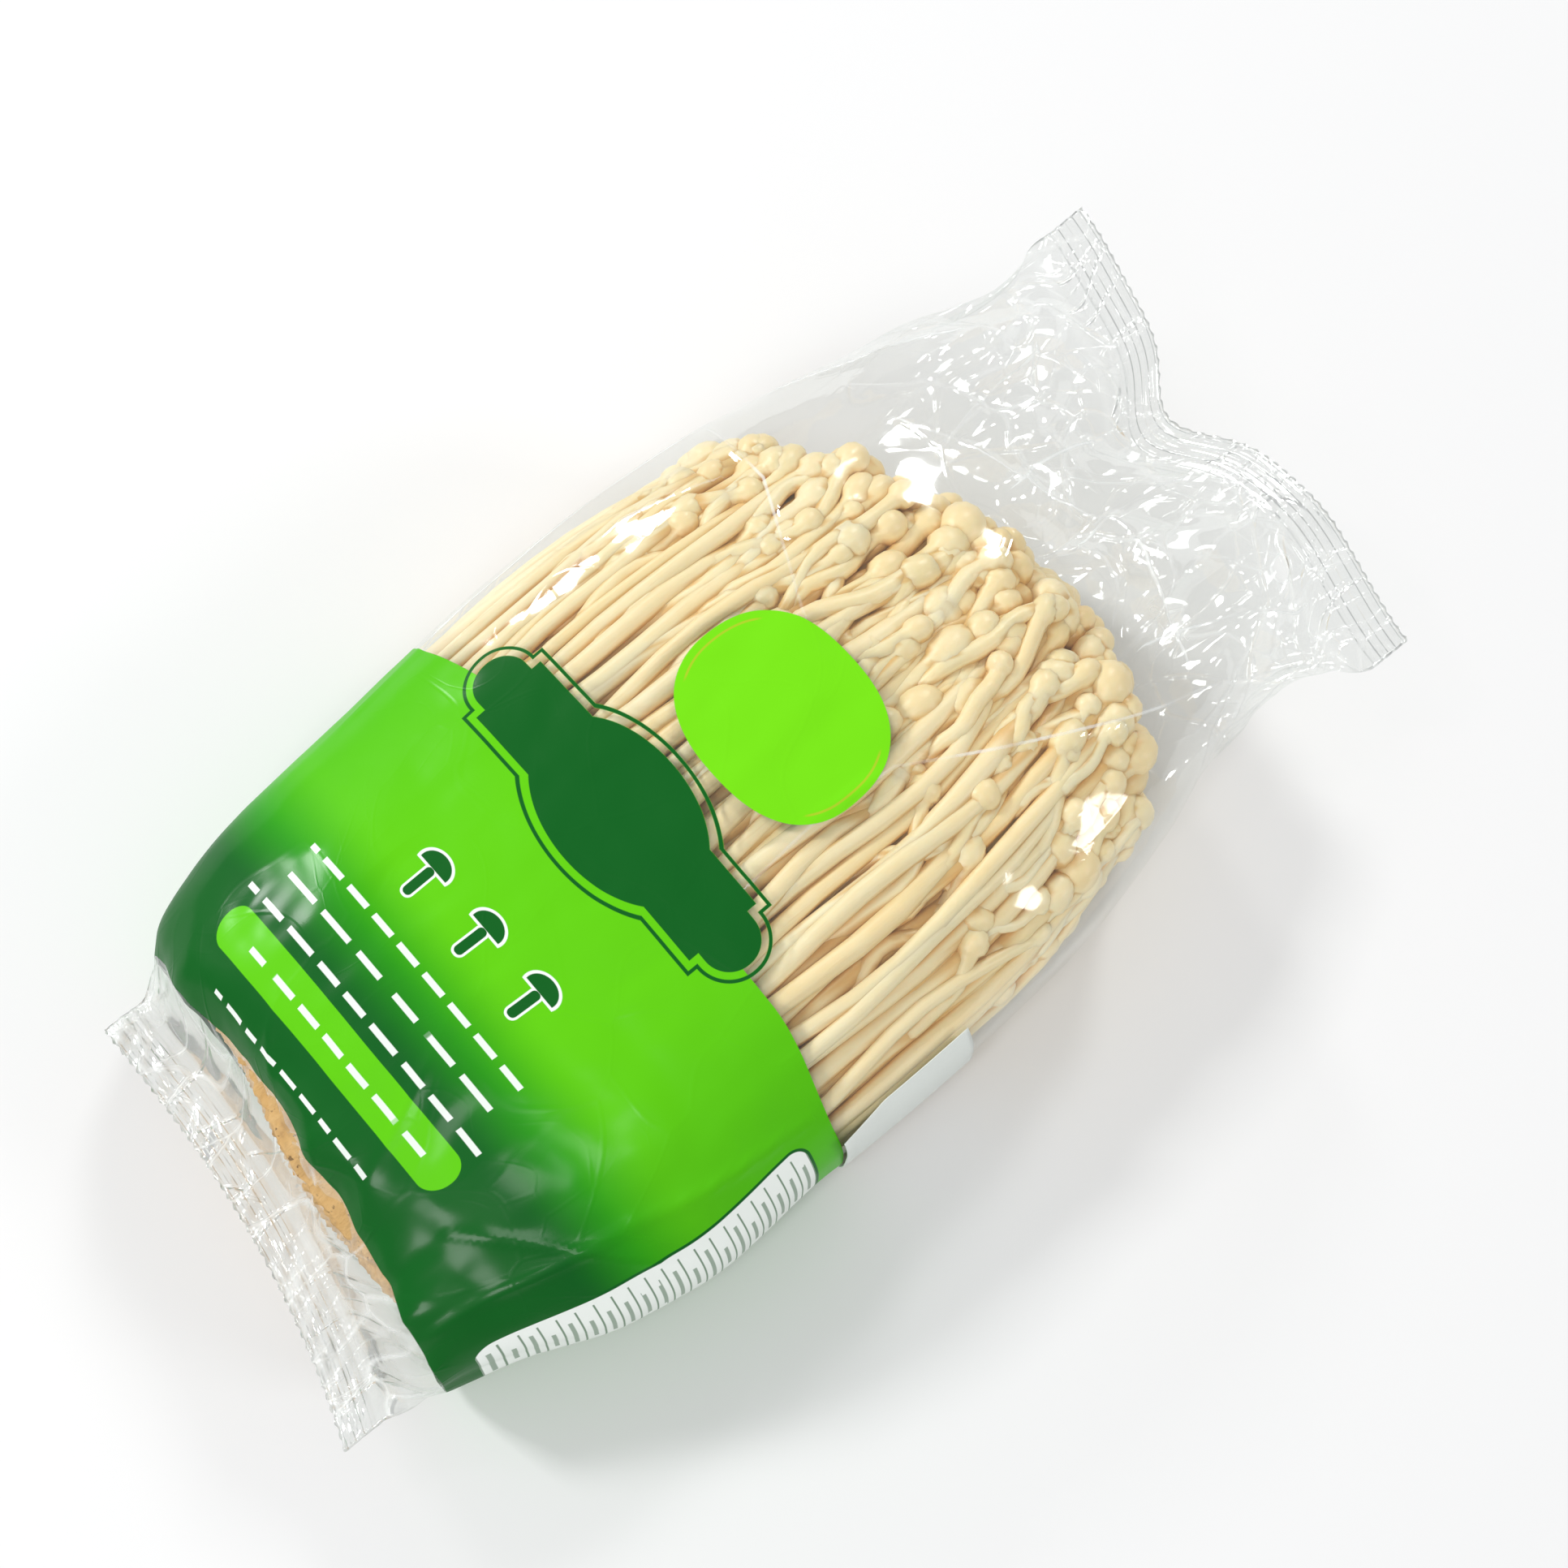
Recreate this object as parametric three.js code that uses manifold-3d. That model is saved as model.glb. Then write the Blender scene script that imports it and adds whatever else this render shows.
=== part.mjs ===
// A bunch of enoki mushrooms in its clear film bag, lying on its back.
// Millimetres, +Z up. +X runs along the bag from the root end to the caps, and +Y is across it.
// The origin is under the middle of the bag, on the surface that it lies on.

import * as THREE from "three";
import { LoftGeometry } from "three/addons/geometries/LoftGeometry.js";
import { mergeVertices } from "three/addons/utils/BufferGeometryUtils.js";
import Module from "manifold-3d";

const wasm = await Module();
wasm.setup();

// Driving dimensions of the film bag
const filmWall = 0.7;
const sealDepth = 9;
const ribHeight = 0.35; // on each side of the seal
const rootSealX = -108;
const capSealX = 110;
const flatSink = 1.6; // how much of the round belly the surface presses flat
const belly = 0.44; // height of the widest line, as a share of the section's height
const topSquareness = 2.5;
const undersideSquareness = 3.4;
const ringPoints = 36;

// The bag's outline: x, half width, how far its middle lies to the side, top, underside, and how
// far the side folds pull in
const stations = [
  { x: -108, half: 42.5, side: 0.2, top: 9.6, under: 8.4, gusset: 0 },
  { x: -100, half: 46.5, side: 0.2, top: 28, under: 2, gusset: 1.5 },
  { x: -90, half: 49.5, side: 0.7, top: 36, under: 0, gusset: 0.8 },
  { x: -72, half: 53.75, side: 0.45, top: 41.5, under: 0, gusset: 0 },
  { x: -42, half: 57.75, side: -0.55, top: 44.5, under: 0, gusset: 0 },
  { x: -8, half: 59.75, side: 0.45, top: 46, under: 0, gusset: 0 },
  { x: 30, half: 58.25, side: 1.45, top: 46, under: 0, gusset: 0 },
  { x: 56, half: 53.5, side: 2.7, top: 42, under: 0, gusset: 0 },
  { x: 76, half: 49.5, side: 4.2, top: 34, under: 0.5, gusset: 2 },
  { x: 95, half: 48.25, side: 2.45, top: 23, under: 5.5, gusset: 5 },
  { x: 110, half: 49.75, side: -1.55, top: 13.6, under: 12.3, gusset: 0 },
];
const ringXs = [
  -108, -104, -99, -93, -85, -73, -56, -35, -12, 12, 35, 52, 64, 73, 81, 88, 94, 99, 103, 107, 110,
];

// Driving dimensions of the mushrooms
const rootFaceX = -86; // where the pale stems leave the tan root
const rootEndX = -99;
const rootHalfWidth = 36;
const rootTop = 29;
const rootUnder = 4;
const partGap = 0.3;
const rootDrawIn = 9.5; // how much slimmer than the bag the bunch is at its root
const fullFromX = -30; // from here on the bunch fills the bag
const stemRadius = 2;
const capSwell = 1.5; // cap radius over stem radius
const capLength = 6;
const filmClearance = 0.6;
const outerStems = 54;
const innerStems = 22;
const stemSides = 5;
const joinTolerance = 0.25; // detail smaller than this is dropped where stems cross
const coreDepth = 4.4; // the packed middle lies this far under the film
const coreEndX = 60;
const coreReach = 13; // how far the packed middle stops short of the caps
const tipX = 73; // the furthest cap
const tipSide = -6; // how far to the side it lies

// Driving dimensions of the vent hole and the paper label
const ventHole = { x: 104, y: -36, radius: 2.75 };
const paperLabel = { fromX: -27, toX: 2, fromAngle: 163, toAngle: 203, gap: 0.4, thickness: 0.6 };

// A repeatable random number from 0 to 1 for each call
function randomStream(seed) {
  let state = seed >>> 0;
  return () => {
    state = (state + 0x6d2b79f5) >>> 0;
    let mixed = Math.imul(state ^ (state >>> 15), state | 1);
    mixed ^= mixed + Math.imul(mixed ^ (mixed >>> 7), mixed | 61);
    return ((mixed ^ (mixed >>> 14)) >>> 0) / 4294967296;
  };
}

function smooth(from, to, value) {
  const share = Math.min(1, Math.max(0, (value - from) / (to - from)));
  return share * share * (3 - 2 * share);
}

// One column of the stations at x, on a smooth curve through them
function outline(column, x) {
  const last = stations.length - 1;
  let i = 0;
  while (i < last - 1 && x > stations[i + 1].x) i += 1;
  const slope = (k) => {
    const before = stations[Math.max(0, k - 1)];
    const after = stations[Math.min(last, k + 1)];
    return (after[column] - before[column]) / (after.x - before.x);
  };
  const a = stations[i];
  const b = stations[i + 1];
  const step = b.x - a.x;
  const t = Math.min(1, Math.max(0, (x - a.x) / step));
  return (
    a[column] * (1 + 2 * t) * (1 - t) ** 2 +
    slope(i) * step * t * (1 - t) ** 2 +
    b[column] * t * t * (3 - 2 * t) +
    slope(i + 1) * step * t * t * (t - 1)
  );
}

// How far the slack ends of the bag are drawn along it and lifted, at a place across it
function endShift(x, y) {
  const capEnd = smooth(64, capSealX, x);
  const rootEnd = smooth(-88, rootSealX, x);
  const notch = -9.5 * Math.exp(-(((y - 8) / 10) ** 2));
  const capAlong = notch + 4 * smooth(20, 54, y) - 5 * smooth(-20, -54, y);
  const capLift = 9 * smooth(-10, 54, y) + 3 * Math.exp(-(((y + 20) / 12) ** 2));
  const rootAlong = 7 - 13 * Math.min(1, Math.max(0, (38 - y) / 80)) ** 2.4;
  const rootLift = 1.4 + 1.4 * Math.cos(y / 11);
  return {
    x: capEnd * capAlong + rootEnd * rootAlong,
    z: capEnd * capLift + rootEnd * rootLift,
  };
}

// Broad folds where the empty ends of the bag gather towards their seals
function foldHeight(x, angle) {
  const capEnd = smooth(66, 88, x) * (1 - smooth(100, capSealX, x));
  const rootEnd = smooth(-86, -96, x) * (1 - smooth(-100, rootSealX, x));
  const across = Math.cos(angle);
  const upper = Math.max(0, Math.sin(angle));
  const capFolds = Math.sin(across * 11 + x * 0.07) + 0.6 * Math.sin(across * 19 - x * 0.11);
  const rootFolds = Math.sin(across * 9 - 1 + x * 0.1);
  return upper * (1.7 * capEnd * capFolds + 1.3 * rootEnd * rootFolds);
}

// A point of the bag's section at x, inset from its outer surface
function sectionPoint(x, angle, inset) {
  const top = outline("top", x);
  const under = Math.max(0, outline("under", x));
  const middle = under + belly * (top - under);
  const half = Math.max(1, outline("half", x) - inset);
  const sine = Math.sin(angle);
  const cosine = Math.cos(angle);
  const squareness = sine > 0 ? topSquareness : undersideSquareness;
  const up = Math.abs(sine) ** (2 / squareness);
  const side = Math.abs(cosine) ** (2 / squareness) * Math.sign(cosine);
  const rise = sine > 0 ? top - middle : middle - under + flatSink;
  const height = middle + Math.sign(sine) * up * Math.max(0.02, rise - inset);
  const pullIn = outline("gusset", x) * (1 - up) ** 2;
  const y = outline("side", x) + side * Math.max(1, half - pullIn);
  const floor = under + Math.min(inset, middle - under - 0.02);
  return { y, z: Math.max(height, floor) };
}

// The same point with the folds and the drawn ends of the bag
function filmPoint(x, angle, inset) {
  const { y, z } = sectionPoint(x, angle, inset);
  const shift = endShift(x, y);
  return new THREE.Vector3(x + shift.x, y, z + shift.z + foldHeight(x, angle));
}

// One ring of the bag at x
function filmRing(x, inset) {
  return Array.from({ length: ringPoints }, (_, i) =>
    filmPoint(x, (2 * Math.PI * (i + 0.5)) / ringPoints, inset),
  );
}

// A geometry as a solid for cutting and joining, with slivers of no area dropped
function toSolid(geometry) {
  const bare = new THREE.BufferGeometry();
  bare.setAttribute("position", geometry.attributes.position);
  bare.setIndex(geometry.index);
  const merged = mergeVertices(bare, 1e-4);
  const corners = merged.index.array;
  const kept = [];
  for (let i = 0; i < corners.length; i += 3) {
    const [a, b, c] = [corners[i], corners[i + 1], corners[i + 2]];
    if (a !== b && b !== c && c !== a) kept.push(a, b, c);
  }
  const mesh = new wasm.Mesh({
    numProp: 3,
    vertProperties: merged.attributes.position.array,
    triVerts: new Uint32Array(kept),
  });
  return new wasm.Manifold(mesh);
}

function toGeometry(solid) {
  const mesh = solid.getMesh();
  const geometry = new THREE.BufferGeometry();
  geometry.setAttribute("position", new THREE.BufferAttribute(mesh.vertProperties, 3));
  geometry.setIndex(new THREE.BufferAttribute(mesh.triVerts, 1));
  geometry.computeVertexNormals();
  return geometry;
}

function closedLoft(sections) {
  return new LoftGeometry(sections, { capStart: true, capEnd: true });
}

// A flat welded seal past the end of the film, with raised ribs along it
function sealSections(x, outward) {
  const ribSteps = [0, 1.5, 3, 4.5, 6, 7.5, sealDepth];
  const ribHeights = [0, ribHeight, 0, ribHeight, 0, ribHeight, 0];
  return ribSteps.map((step, i) =>
    filmRing(x, 0).map((point, k) => {
      const side = k < ringPoints / 2 ? 1 : -1;
      return new THREE.Vector3(point.x + outward * step, point.y, point.z + side * ribHeights[i]);
    }),
  );
}

// The room inside the film, inset from its outer surface
function roomInside(inset) {
  return toSolid(closedLoft(ringXs.slice(1, -1).map((x) => filmRing(x, inset))));
}

function filmBag() {
  const body = ringXs.map((x) => filmRing(x, 0));
  const rootTab = sealSections(rootSealX, -1).slice(1).reverse();
  const capTab = sealSections(capSealX, 1).slice(1);
  const outer = toSolid(closedLoft([...rootTab, ...body, ...capTab]));
  const punch = new THREE.CylinderGeometry(ventHole.radius, ventHole.radius, 30, 12);
  punch.rotateX(Math.PI / 2);
  const middleZ = (outline("top", ventHole.x) + outline("under", ventHole.x)) / 2;
  punch.translate(ventHole.x, ventHole.y, middleZ + 15);
  return outer.subtract(roomInside(filmWall)).subtract(toSolid(punch));
}

// The line that the caps reach, which bows out in the middle of the bunch
function tipLine(y) {
  const off = y - tipSide;
  return off > 0 ? tipX - 0.0088 * off * off : tipX - 1.3e-4 * Math.abs(off) ** 3.15;
}

// The bunch draws in from the film towards its root
function rootSlack(x) {
  return rootDrawIn * (1 - smooth(rootFaceX, fullFromX, x));
}

// A point in the bunch: share is 1 at its skin and 0 in its middle
function bunchPoint(x, angle, inset, share) {
  const { y, z } = sectionPoint(x, angle, inset + rootSlack(x));
  const middleY = outline("side", x);
  const middleZ = outline("under", x) + belly * (outline("top", x) - outline("under", x));
  return new THREE.Vector3(x, middleY + (y - middleY) * share, middleZ + (z - middleZ) * share);
}

// Angles that lie evenly along the skin of the bunch
function evenAngles(count) {
  const steps = 720;
  const walked = [0];
  let before = bunchPoint(20, 0, 4, 1);
  for (let i = 1; i <= steps; i += 1) {
    const next = bunchPoint(20, (2 * Math.PI * i) / steps, 4, 1);
    walked.push(walked[i - 1] + next.distanceTo(before));
    before = next;
  }
  const angles = [];
  for (let k = 0; k < count; k += 1) {
    const wanted = (walked[steps] * (k + 0.5)) / count;
    const i = walked.findIndex((length) => length >= wanted);
    angles.push((2 * Math.PI * i) / steps);
  }
  return angles;
}

// Where each mushroom stands, how long it is and how thick
function mushroomList() {
  const random = randomStream(20261);
  const list = [];
  evenAngles(outerStems).forEach((angle) => {
    const onTop = Math.sin(angle) > 0.3;
    const short = onTop && random() < 0.3 ? 8 + 22 * random() : 4 * random();
    list.push({ angle, share: 1, fromX: rootFaceX - 4, short, girth: 0.85 + 0.3 * random() });
  });
  for (let k = 0; k < innerStems; k += 1) {
    const turn = k * 2.39996; // golden angle, which spreads them evenly
    const share = 0.86 * Math.sqrt((k + 0.6) / innerStems);
    const girth = 0.9 + 0.35 * random();
    list.push({ angle: turn, share, fromX: 24, short: 4 * random(), girth });
  }
  return list.map((item) => ({
    ...item,
    sway: [random() - 0.5, random() - 0.5, random() - 0.5, random() - 0.5],
  }));
}

// The centre line of one mushroom, from its root to the top of its cap
function spineOf(item) {
  const radius = stemRadius * item.girth;
  const capInset = filmWall + filmClearance + radius * capSwell;
  const stemInset = filmWall + filmClearance + radius + 0.25;
  const skin = bunchPoint(50, item.angle, capInset, item.share);
  const rise = (skin.z - 20) / 20;
  const endX = tipLine(skin.y) - 7 * rise * rise * item.share - item.short;
  const count = item.share === 1 ? 5 : 3;
  const points = [];
  for (let i = 0; i <= count; i += 1) {
    const t = i / count;
    const x = item.fromX + (endX - item.fromX) * t;
    const nearTip = smooth(endX - 30, endX, x);
    const inset = stemInset + (capInset - stemInset) * nearTip;
    const point = bunchPoint(x, item.angle, inset, item.share);
    const inwards = Math.abs(item.sway[2]) * 2.2 * nearTip;
    point.y += 3.6 * item.sway[0] * nearTip + 1.6 * item.sway[1] * Math.sin(t * 9);
    point.z -= Math.sign(point.z - 20) * inwards;
    points.push(point);
  }
  return new THREE.CatmullRomCurve3(points, false, "centripetal");
}

// A ring of points square to the spine
function spineRing(spine, t, radius, sides) {
  const centre = spine.getPointAt(t);
  const ahead = spine.getTangentAt(t);
  const side = new THREE.Vector3(0, 0, 1).cross(ahead).normalize();
  const up = ahead.clone().cross(side);
  return Array.from({ length: sides }, (_, i) => {
    const turn = (2 * Math.PI * (i + 0.5)) / sides;
    return centre
      .clone()
      .addScaledVector(side, radius * Math.cos(turn))
      .addScaledVector(up, radius * Math.sin(turn));
  });
}

// One mushroom: a stem that swells into a small rounded cap
function mushroom(item) {
  const spine = spineOf(item);
  const radius = stemRadius * item.girth;
  const cap = radius * capSwell;
  const length = spine.getLength();
  const atEnd = (distance) => 1 - distance / length;
  const stemSteps = item.share === 1 ? 3 : 1;
  const rings = [];
  for (let i = 0; i < stemSteps; i += 1) {
    rings.push([(i / stemSteps) * atEnd(capLength + 2), radius * (0.92 + 0.08 * (i / stemSteps))]);
  }
  rings.push([atEnd(capLength - 0.6), radius * 1.02]);
  rings.push([atEnd(capLength * 0.66), cap]);
  rings.push([atEnd(capLength * 0.24), cap * 0.86]);
  rings.push([1, cap * 0.4]);
  return closedLoft(rings.map(([t, r]) => spineRing(spine, t, r, stemSides)));
}

// The packed middle of the bunch, which the outer stems lie half sunk in
function bunchCore() {
  const points = 24;
  const steps = [
    { x: rootFaceX - 3, size: 1 },
    { x: -66, size: 1 },
    { x: -46, size: 1 },
    { x: -24, size: 1 },
    { x: 0, size: 1 },
    { x: 22, size: 1 },
    { x: 38, size: 0.98 },
    { x: 50, size: 0.9 },
    { x: 57, size: 0.72 },
    { x: coreEndX, size: 0.4 },
  ];
  const sections = steps.map(({ x, size }) =>
    Array.from({ length: points }, (_, i) => {
      const angle = (2 * Math.PI * (i + 0.5)) / points;
      const point = bunchPoint(x, angle, coreDepth, size);
      const bow = (tipLine(point.y) - coreReach - rootFaceX) / (coreEndX - rootFaceX);
      point.x = rootFaceX + (x - rootFaceX) * Math.min(1, bow);
      return point;
    }),
  );
  return closedLoft(sections);
}

// Stems and core in one solid; only its outer shell is kept, so that no pocket stays sealed
function mushroomBunch() {
  const grown = mushroomList().map((item) => toSolid(mushroom(item)));
  const joined = wasm.Manifold.union([toSolid(bunchCore()), ...grown]);
  const whole = joined.intersect(roomInside(filmWall + 1.5 * partGap));
  const trim = new THREE.BoxGeometry(20, 160, 80);
  trim.translate(rootFaceX - 10, 0, 20);
  const shells = whole.subtract(toSolid(trim)).simplify(joinTolerance).decompose();
  return shells.reduce((most, shell) => (shell.volume() > most.volume() ? shell : most));
}

// The tan root that the whole bunch grew from, cut square at its end
function rootBase() {
  const random = randomStream(77);
  const points = 26;
  const startX = rootFaceX - partGap;
  const steps = [
    { x: rootEndX, size: 0.74 },
    { x: rootEndX + 1.2, size: 0.88 },
    { x: rootEndX + 5, size: 0.97 },
    { x: rootEndX + 9, size: 1 },
    { x: startX, size: 1.03 },
  ];
  const lumps = Array.from({ length: points }, () => random() - 0.5);
  const middle = (rootTop + rootUnder) / 2;
  const sections = steps.map(({ x, size }, row) =>
    Array.from({ length: points }, (_, i) => {
      const angle = (2 * Math.PI * (i + 0.5)) / points;
      const uneven = 1 + 0.035 * lumps[i] + 0.03 * (random() - 0.5);
      const reach = (direction) => Math.sign(direction) * Math.abs(direction) ** 0.72;
      const y = rootHalfWidth * size * uneven * reach(Math.cos(angle));
      const z = middle + ((rootTop - rootUnder) / 2) * size * uneven * reach(Math.sin(angle));
      const askew = 6 * smooth(-8, 28, y) * Math.max(0, 1 - row / 4);
      const lean = askew + (row < 2 ? 0.8 * (random() - 0.5) : 0);
      return new THREE.Vector3(x + lean, y, z);
    }),
  );
  return toSolid(closedLoft(sections)).intersect(roomInside(filmWall + 3.2 * partGap));
}

// The paper label stuck on the side of the bag
function sideLabel() {
  const { fromX, toX, fromAngle, toAngle, gap, thickness } = paperLabel;
  const columns = 7;
  const rows = 9;
  const edge = (x, inset, from, to) =>
    Array.from({ length: rows }, (_, i) => {
      const angle = THREE.MathUtils.degToRad(from + ((to - from) * i) / (rows - 1));
      return filmPoint(x, angle, inset);
    });
  const sections = Array.from({ length: columns }, (_, i) => {
    const x = fromX + ((toX - fromX) * i) / (columns - 1);
    return [
      ...edge(x, -gap - thickness, fromAngle, toAngle),
      ...edge(x, -gap, toAngle, fromAngle),
    ];
  });
  return closedLoft(sections);
}

const looks = {
  film: { color: 0xdfeede, roughness: 0.12, metalness: 0, transparent: true, opacity: 0.4 },
  mushroom: { color: 0xf0ddb2, roughness: 0.45, metalness: 0 },
  root: { color: 0xc4976a, roughness: 0.8, metalness: 0 },
  paper: { color: 0xe4e6e2, roughness: 0.6, metalness: 0 },
};

function named(name, geometry, look) {
  const mesh = new THREE.Mesh(geometry, new THREE.MeshStandardMaterial(looks[look]));
  mesh.name = name;
  return mesh;
}

const enokiBunch = new THREE.Group();
enokiBunch.add(
  named("film_bag", toGeometry(filmBag()), "film"),
  named("mushroom_bunch", toGeometry(mushroomBunch()), "mushroom"),
  named("root_base", toGeometry(rootBase()), "root"),
  named("side_label", toGeometry(toSolid(sideLabel())), "paper"),
);

export default enokiBunch;
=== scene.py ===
# Enoki mushrooms in their printed film bag, on a pale studio floor.
# Lengths in the dictionaries are in millimetres, and stay so until a mesh is filled.

import math
import random

import bmesh
import bpy
import numpy as np
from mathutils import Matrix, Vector
from mathutils.bvhtree import BVHTree


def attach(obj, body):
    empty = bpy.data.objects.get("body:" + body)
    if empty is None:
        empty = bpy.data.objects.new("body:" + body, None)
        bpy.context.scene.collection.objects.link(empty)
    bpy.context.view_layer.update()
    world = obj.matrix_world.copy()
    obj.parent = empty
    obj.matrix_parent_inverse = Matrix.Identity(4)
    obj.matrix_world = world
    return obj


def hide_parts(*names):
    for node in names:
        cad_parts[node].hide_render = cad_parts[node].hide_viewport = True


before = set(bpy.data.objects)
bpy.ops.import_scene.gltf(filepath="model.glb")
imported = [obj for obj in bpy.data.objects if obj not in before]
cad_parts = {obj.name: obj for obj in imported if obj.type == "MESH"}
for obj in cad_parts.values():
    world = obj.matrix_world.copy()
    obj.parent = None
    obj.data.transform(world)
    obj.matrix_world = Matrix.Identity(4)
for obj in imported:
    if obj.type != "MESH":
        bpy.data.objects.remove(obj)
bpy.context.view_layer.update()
print("frame loaded")


# The form of the bag, which every piece follows

bagForm = {
    # x, half width, how far the middle lies to the side, top, underside, pull of the side folds
    "stations": (
        (-108, 42.5, 0.2, 9.6, 8.4, 0),
        (-100, 46.5, 0.2, 28, 2, 1.5),
        (-90, 49.5, 0.7, 36, 0, 0.8),
        (-72, 53.75, 0.45, 41.5, 0, 0),
        (-42, 57.75, -0.55, 44.5, 0, 0),
        (-8, 59.75, 0.45, 46, 0, 0),
        (30, 58.25, 1.45, 46, 0, 0),
        (56, 53.5, 2.7, 42, 0, 0),
        (76, 49.5, 4.2, 34, 0.5, 2),
        (95, 48.25, 2.45, 23, 5.5, 5),
        (110, 49.75, -1.55, 13.6, 12.3, 0),
    ),
    "columns": ("x", "half", "side", "top", "under", "gusset"),
    "rootSeal": -108,
    "capSeal": 110,
    "sealDepth": 9,
    "belly": 0.44,
    "topSquareness": 2.5,
    "undersideSquareness": 3.4,
    "flatSink": 1.6,
    "filmWall": 0.7,
    "notch": (-9.5, 8, 10),  # depth, place and width of the dip in the cap end
}


def smooth(start, end, value):
    share = np.clip((value - start) / (end - start), 0, 1)
    return share * share * (3 - 2 * share)


def outline(column, x):
    table = np.array(bagForm["stations"], float)
    xs = table[:, 0]
    ys = table[:, bagForm["columns"].index(column)]
    slopes = np.empty(len(xs))
    slopes[1:-1] = (ys[2:] - ys[:-2]) / (xs[2:] - xs[:-2])
    slopes[0] = (ys[1] - ys[0]) / (xs[1] - xs[0])
    slopes[-1] = (ys[-1] - ys[-2]) / (xs[-1] - xs[-2])
    x = np.clip(x, xs[0], xs[-1])
    i = np.clip(np.searchsorted(xs, x, side="right") - 1, 0, len(xs) - 2)
    step = xs[i + 1] - xs[i]
    t = (x - xs[i]) / step
    bend = slopes[i] * step * t * (1 - t) ** 2 + slopes[i + 1] * step * t * t * (t - 1)
    return ys[i] * (1 + 2 * t) * (1 - t) ** 2 + ys[i + 1] * t * t * (3 - 2 * t) + bend


# How far the slack ends are drawn along the bag and lifted
def endShift(x, y):
    capEnd = smooth(64, bagForm["capSeal"], x)
    rootEnd = 1 - smooth(bagForm["rootSeal"], -88, x)
    depth, place, width = bagForm["notch"]
    notch = depth * np.exp(-(((y - place) / width) ** 2))
    capAlong = notch + 4 * smooth(20, 54, y) - 5 * (1 - smooth(-54, -20, y))
    capLift = 9 * smooth(-10, 54, y) + 3 * np.exp(-(((y + 20) / 12) ** 2))
    rootAlong = 7 - 13 * np.clip((38 - y) / 80, 0, 1) ** 2.4
    rootLift = 1.4 + 1.4 * np.cos(y / 11)
    return capEnd * capAlong + rootEnd * rootAlong, capEnd * capLift + rootEnd * rootLift


def foldHeight(x, angle):
    capEnd = smooth(66, 88, x) * (1 - smooth(100, bagForm["capSeal"], x))
    rootEnd = (1 - smooth(-96, -86, x)) * smooth(bagForm["rootSeal"], -100, x)
    across = np.cos(angle)
    upper = np.maximum(0, np.sin(angle))
    capFolds = np.sin(across * 11 + x * 0.07) + 0.6 * np.sin(across * 19 - x * 0.11)
    rootFolds = np.sin(across * 9 - 1 + x * 0.1)
    return upper * (1.7 * capEnd * capFolds + 1.3 * rootEnd * rootFolds)


def sectionPoint(x, angle, inset):
    top = outline("top", x)
    under = np.maximum(0, outline("under", x))
    middle = under + bagForm["belly"] * (top - under)
    half = np.maximum(1, outline("half", x) - inset)
    sine, cosine = np.sin(angle), np.cos(angle)
    upper = sine > 0
    power = 2 / np.where(upper, bagForm["topSquareness"], bagForm["undersideSquareness"])
    up = np.abs(sine) ** power
    side = np.abs(cosine) ** power * np.sign(cosine)
    rise = np.where(upper, top - middle, middle - under + bagForm["flatSink"])
    height = middle + np.sign(sine) * up * np.maximum(0.02, rise - inset)
    pullIn = outline("gusset", x) * (1 - up) ** 2
    y = outline("side", x) + side * np.maximum(1, half - pullIn)
    floorHeight = under + np.minimum(inset, middle - under - 0.02)
    return y, np.maximum(height, floorHeight)


# Length round the bag from the middle of its top, towards +Y, against the section's angle
turns = np.linspace(0, 2 * math.pi, 4001)
ringY, ringZ = sectionPoint(np.zeros(4001), math.pi / 2 + turns, 0)
walked = np.concatenate([[0], np.cumsum(np.hypot(np.diff(ringY), np.diff(ringZ)))])
girth = walked[-1]


def angleAt(v):
    return math.pi / 2 + np.interp(np.mod(-np.asarray(v, float), girth), walked, turns)


def unit(vectors):
    return vectors / np.maximum(1e-9, np.linalg.norm(vectors, axis=-1, keepdims=True))


def gridMesh(name, rows, columns):
    # a grid, its corners' places from 0 to 1 both ways
    made = bmesh.new()
    bmesh.ops.create_grid(made, x_segments=rows, y_segments=columns, size=0.5)
    bmesh.ops.translate(made, verts=made.verts, vec=(0.5, 0.5, 0))
    mesh = bpy.data.meshes.new(name)
    made.to_mesh(mesh)
    made.free()
    places = np.empty(len(mesh.vertices) * 3)
    mesh.vertices.foreach_get("co", places)
    return mesh, places.reshape(-1, 3)


def placeVertices(mesh, points):
    mesh.vertices.foreach_set("co", (points / 1000).astype(np.float32).ravel())
    mesh.update()


def closeMesh(mesh, distance=1e-5):
    made = bmesh.new()
    made.from_mesh(mesh)
    bmesh.ops.remove_doubles(made, verts=made.verts, dist=distance)
    bmesh.ops.dissolve_degenerate(made, edges=made.edges, dist=1e-7)
    bmesh.ops.recalc_face_normals(made, faces=made.faces)
    made.to_mesh(mesh)
    made.free()


def addPiece(name, mesh, material, slotName, *nodes):
    piece = bpy.data.objects.new(name, mesh)
    bpy.context.scene.collection.objects.link(piece)
    mesh.polygons.foreach_set("use_smooth", [True] * len(mesh.polygons))
    mesh.materials.append(material)
    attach(piece, "root")
    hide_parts(*nodes)
    return piece


# Camera

viewpoint = {
    "azimuth": -40,
    "elevation": 72,
    "distance": 0.65,
    "lens": 85.03,
    "shift": (0.0274, 0.0145),
    "target": (0, 0, 0.02),
}

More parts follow.
